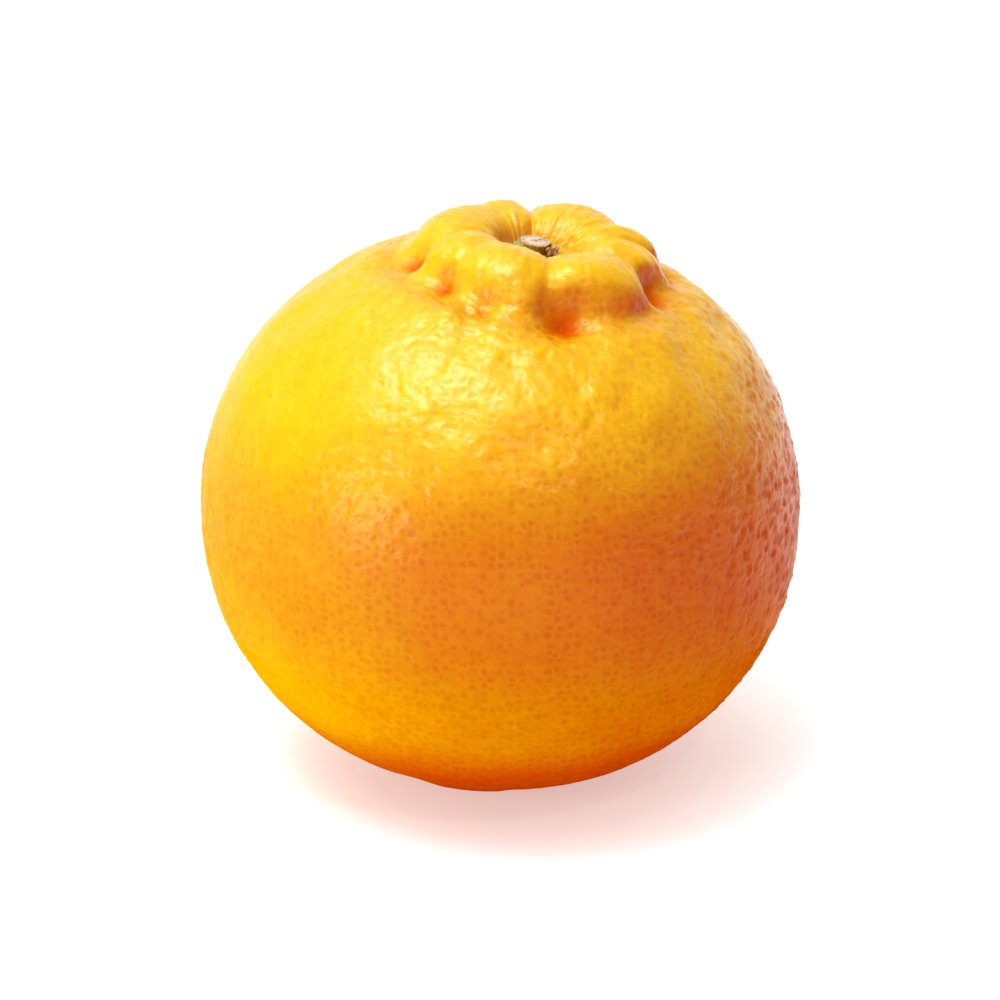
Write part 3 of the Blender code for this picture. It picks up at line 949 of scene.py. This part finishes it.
class StalkLook(bpy.types.PropertyGroup):
    """Colours of the cut stalk."""

    green: FloatVectorProperty(
        name="Green bark", description="Colour of the fresh bark",
        default=linear("C2BC70"), size=4, min=0, max=1, subtype="COLOR",
    )
    olive: FloatVectorProperty(
        name="Olive bark", description="Colour of the drying bark",
        default=linear("A8964E"), size=4, min=0, max=1, subtype="COLOR",
    )
    brown: FloatVectorProperty(
        name="Brown bark", description="Colour of the dried bark",
        default=linear("8A5E30"), size=4, min=0, max=1, subtype="COLOR",
    )
    cork: FloatVectorProperty(
        name="Cork", description="Colour of the corky strips",
        default=linear("C29C6A"), size=4, min=0, max=1, subtype="COLOR",
    )
    wood: FloatVectorProperty(
        name="Cut wood", description="Colour of the cut",
        default=linear("D6BA9C"), size=4, min=0, max=1, subtype="COLOR",
    )
    wood_light: FloatVectorProperty(
        name="Pale wood", description="Colour of the pale rings of the cut",
        default=linear("E4CFB6"), size=4, min=0, max=1, subtype="COLOR",
    )
    ring: FloatVectorProperty(
        name="Dark ring", description="Colour of the ring under the bark",
        default=linear("B8987A"), size=4, min=0, max=1, subtype="COLOR",
    )
    pith: FloatVectorProperty(
        name="Pith", description="Colour of the pith and of the dark specks",
        default=linear("6E4A2A"), size=4, min=0, max=1, subtype="COLOR",
    )


class FRUIT_OT_stalk(bpy.types.Operator):
    """Stand the cut stalk on the calyx"""

    bl_idname = "fruit.stalk"
    bl_label = "Cut stalk"

    def execute(self, context):
        look = context.scene.stalk_look
        materials = [bark_material(look), cut_material(look)]
        finish_piece("cut_stalk", stalk_mesh(), materials, "stem")
        return {"FINISHED"}


# the studio

TARGET = Vector((0, 0, 36.8)) * MM
CAMERA_DISTANCE = 370.4 * MM
CAMERA_ELEVATION = math.radians(20)
CAMERA_LENS = 100  # mm
CAMERA_SENSOR = 36  # mm wide
CAMERA_NEAR = 10 * MM
FLOOR_HALF_WIDTH = 8.0  # metres
WHITE = linear("FFFFFF")
COOL = linear("DCE9FF")
# each lamp's direction from the fruit, its distance, width and height in metres, and its colour
LAMPS = {
    "key": ((-0.22, -0.14, 0.97), 2.0, (2.3, 1.9), WHITE),
    "window": ((-0.26, -0.20, 0.94), 2.0, (0.95, 0.75), COOL),
    "spark": ((0.25, -0.63, 0.72), 1.2, (0.06, 0.06), WHITE),
    "fill": ((-0.73, -0.64, 0.23), 0.60, (0.20, 0.20), WHITE),
}


def aimed(place, target):
    """The rotation that turns a lamp or a camera at this place to its target."""
    return (target - place).to_track_quat("-Z", "Y").to_euler()


def add_lamp(name, way, distance, size, power, colour):
    """A soft box in this direction from the fruit."""
    data = bpy.data.lights.new(name, "AREA")
    data.shape = "RECTANGLE"
    data.size, data.size_y = size
    data.energy = power
    data.color = colour[:3]
    lamp = bpy.data.objects.new(name, data)
    lamp.location = TARGET + Vector(way).normalized() * distance
    lamp.rotation_euler = aimed(lamp.location, TARGET)
    lamp.visible_camera = False
    bpy.context.scene.collection.objects.link(lamp)


def floor_material(look):
    """Opal acrylic sheet of a light table: cast, matt on top and lit from below, so shadows stay faint."""
    material, tree = new_material("Opal acrylic sheet")
    fibre = noisy(tree, object_place(tree), 2 * MM, 2.0)[0]
    tone = ramped(tree, fibre, [(0.0, linear("D8D8D8")), (1.0, linear("DEDEDE"))])
    inputs = {"Base Color": tone, "Roughness": 0.9, "Emission Color": WHITE, "Emission Strength": look.glow}
    add_surface(tree, inputs)
    return material


def add_floor(look):
    """The light table's sheet, so wide that its edges don't show."""
    bm = bmesh.new()
    bmesh.ops.create_grid(bm, x_segments=4, y_segments=4, size=FLOOR_HALF_WIDTH)
    mesh = bpy.data.meshes.new("floor")
    bm.to_mesh(mesh)
    bm.free()
    mesh.materials.append(floor_material(look))
    floor = bpy.data.objects.new("floor", mesh)
    bpy.context.scene.collection.objects.link(floor)


def white_room(look):
    """A room that is white behind the fruit and dim on the camera's side."""
    world = bpy.data.worlds.new("White room")
    world.use_nodes = True
    tree = world.node_tree
    tree.nodes.clear()
    way = add_node(tree, "ShaderNodeTexCoord").outputs["Generated"]
    strength = ranged(tree, split(tree, way)["Y"], 0.0, 0.8, look.dim_side, look.surround)
    light = add_node(tree, "ShaderNodeBackground", {"Color": WHITE, "Strength": strength}).outputs[0]
    add_node(tree, "ShaderNodeOutputWorld", {"Surface": light})
    world.cycles.sampling_method = "NONE"  # so even a room needs no light search of its own
    return world


def add_camera():
    """The camera, a little above the fruit and far off, with a long lens."""
    data = bpy.data.cameras.new("camera")
    data.lens = CAMERA_LENS
    data.sensor_width = CAMERA_SENSOR
    data.clip_start = CAMERA_NEAR
    camera = bpy.data.objects.new("camera", data)
    back = Vector((0, -math.cos(CAMERA_ELEVATION), math.sin(CAMERA_ELEVATION)))
    camera.location = TARGET + back * CAMERA_DISTANCE
    camera.rotation_euler = aimed(camera.location, TARGET)
    bpy.context.scene.collection.objects.link(camera)
    return camera


class StageLook(bpy.types.PropertyGroup):
    """Light of the studio."""

    key_power: FloatProperty(
        name="Key light", description="Power of the soft box overhead",
        default=16.0, min=0, subtype="POWER", unit="POWER",
    )
    window_power: FloatProperty(
        name="Window light", description="Power of the smaller soft box overhead",
        default=13.0, min=0, subtype="POWER", unit="POWER",
    )
    spark_power: FloatProperty(
        name="Spark light", description="Power of the small lamp that draws glints",
        default=0.5, min=0, subtype="POWER", unit="POWER",
    )
    fill_power: FloatProperty(
        name="Fill light", description="Power of the soft box at the left",
        default=0.60, min=0, subtype="POWER", unit="POWER",
    )
    surround: FloatProperty(
        name="Surround", description="Brightness of the white room behind the fruit",
        default=0.70, min=0, max=4,
    )
    dim_side: FloatProperty(
        name="Dim side", description="Brightness of the room on the camera's side",
        default=0.34, min=0, max=4,
    )
    glow: FloatProperty(
        name="Glow", description="Brightness of the light table under its own lamps",
        default=0.32, min=0, max=4,
    )


class FRUIT_OT_stage(bpy.types.Operator):
    """Set up the light table, the white room, the soft boxes and the camera"""

    bl_idname = "fruit.stage"
    bl_label = "Studio"

    def execute(self, context):
        scene = context.scene
        look = scene.stage_look
        scene.view_settings.view_transform = "Standard"
        scene.view_settings.look = "High Contrast"
        add_floor(look)
        scene.world = white_room(look)
        for name, (way, distance, size, colour) in LAMPS.items():
            add_lamp(name + "_light", way, distance, size, getattr(look, name + "_power"), colour)
        scene.camera = add_camera()
        return {"FINISHED"}


class FRUIT_PT_panel(bpy.types.Panel):
    """Lists the pieces of the fruit"""

    bl_idname = "FRUIT_PT_panel"
    bl_label = "Bergamot orange"
    bl_space_type = "VIEW_3D"
    bl_region_type = "UI"
    bl_category = "Fruit"

    def draw(self, context):
        for title, group, operator in PANEL_ROWS:
            box = self.layout.box()
            box.label(text=title)
            settings = getattr(context.scene, group)
            for name in settings.bl_rna.properties.keys():
                if name not in ("rna_type", "name"):
                    box.prop(settings, name)
            box.operator(operator)


PANEL_ROWS = (
    ("Rind", "rind_look", "fruit.rind"),
    ("Calyx", "calyx_look", "fruit.calyx"),
    ("Cut stalk", "stalk_look", "fruit.stalk"),
    ("Studio", "stage_look", "fruit.stage"),
)
GROUPS = {"rind_look": RindLook, "calyx_look": CalyxLook, "stalk_look": StalkLook, "stage_look": StageLook}
CLASSES = (
    RindLook,
    CalyxLook,
    StalkLook,
    StageLook,
    FRUIT_OT_rind,
    FRUIT_OT_calyx,
    FRUIT_OT_stalk,
    FRUIT_OT_stage,
    FRUIT_PT_panel,
)


def register():
    """Add the classes to Blender, and their settings to the scene."""
    for cls in CLASSES:
        bpy.utils.register_class(cls)
    for name, group in GROUPS.items():
        setattr(bpy.types.Scene, name, PointerProperty(type=group))


def unregister():
    """Take the settings and the classes out again."""
    for name in GROUPS:
        delattr(bpy.types.Scene, name)
    for cls in reversed(CLASSES):
        bpy.utils.unregister_class(cls)


def main():
    """Clear the start-up scene, then build every piece and the studio."""
    for obj in list(bpy.data.objects):
        if obj.name in ("Cube", "Light", "Camera"):
            bpy.data.objects.remove(obj)
    register()
    bpy.ops.fruit.rind()
    bpy.ops.fruit.calyx()
    bpy.ops.fruit.stalk()
    bpy.ops.fruit.stage()


if __name__ == "__main__":
    main()
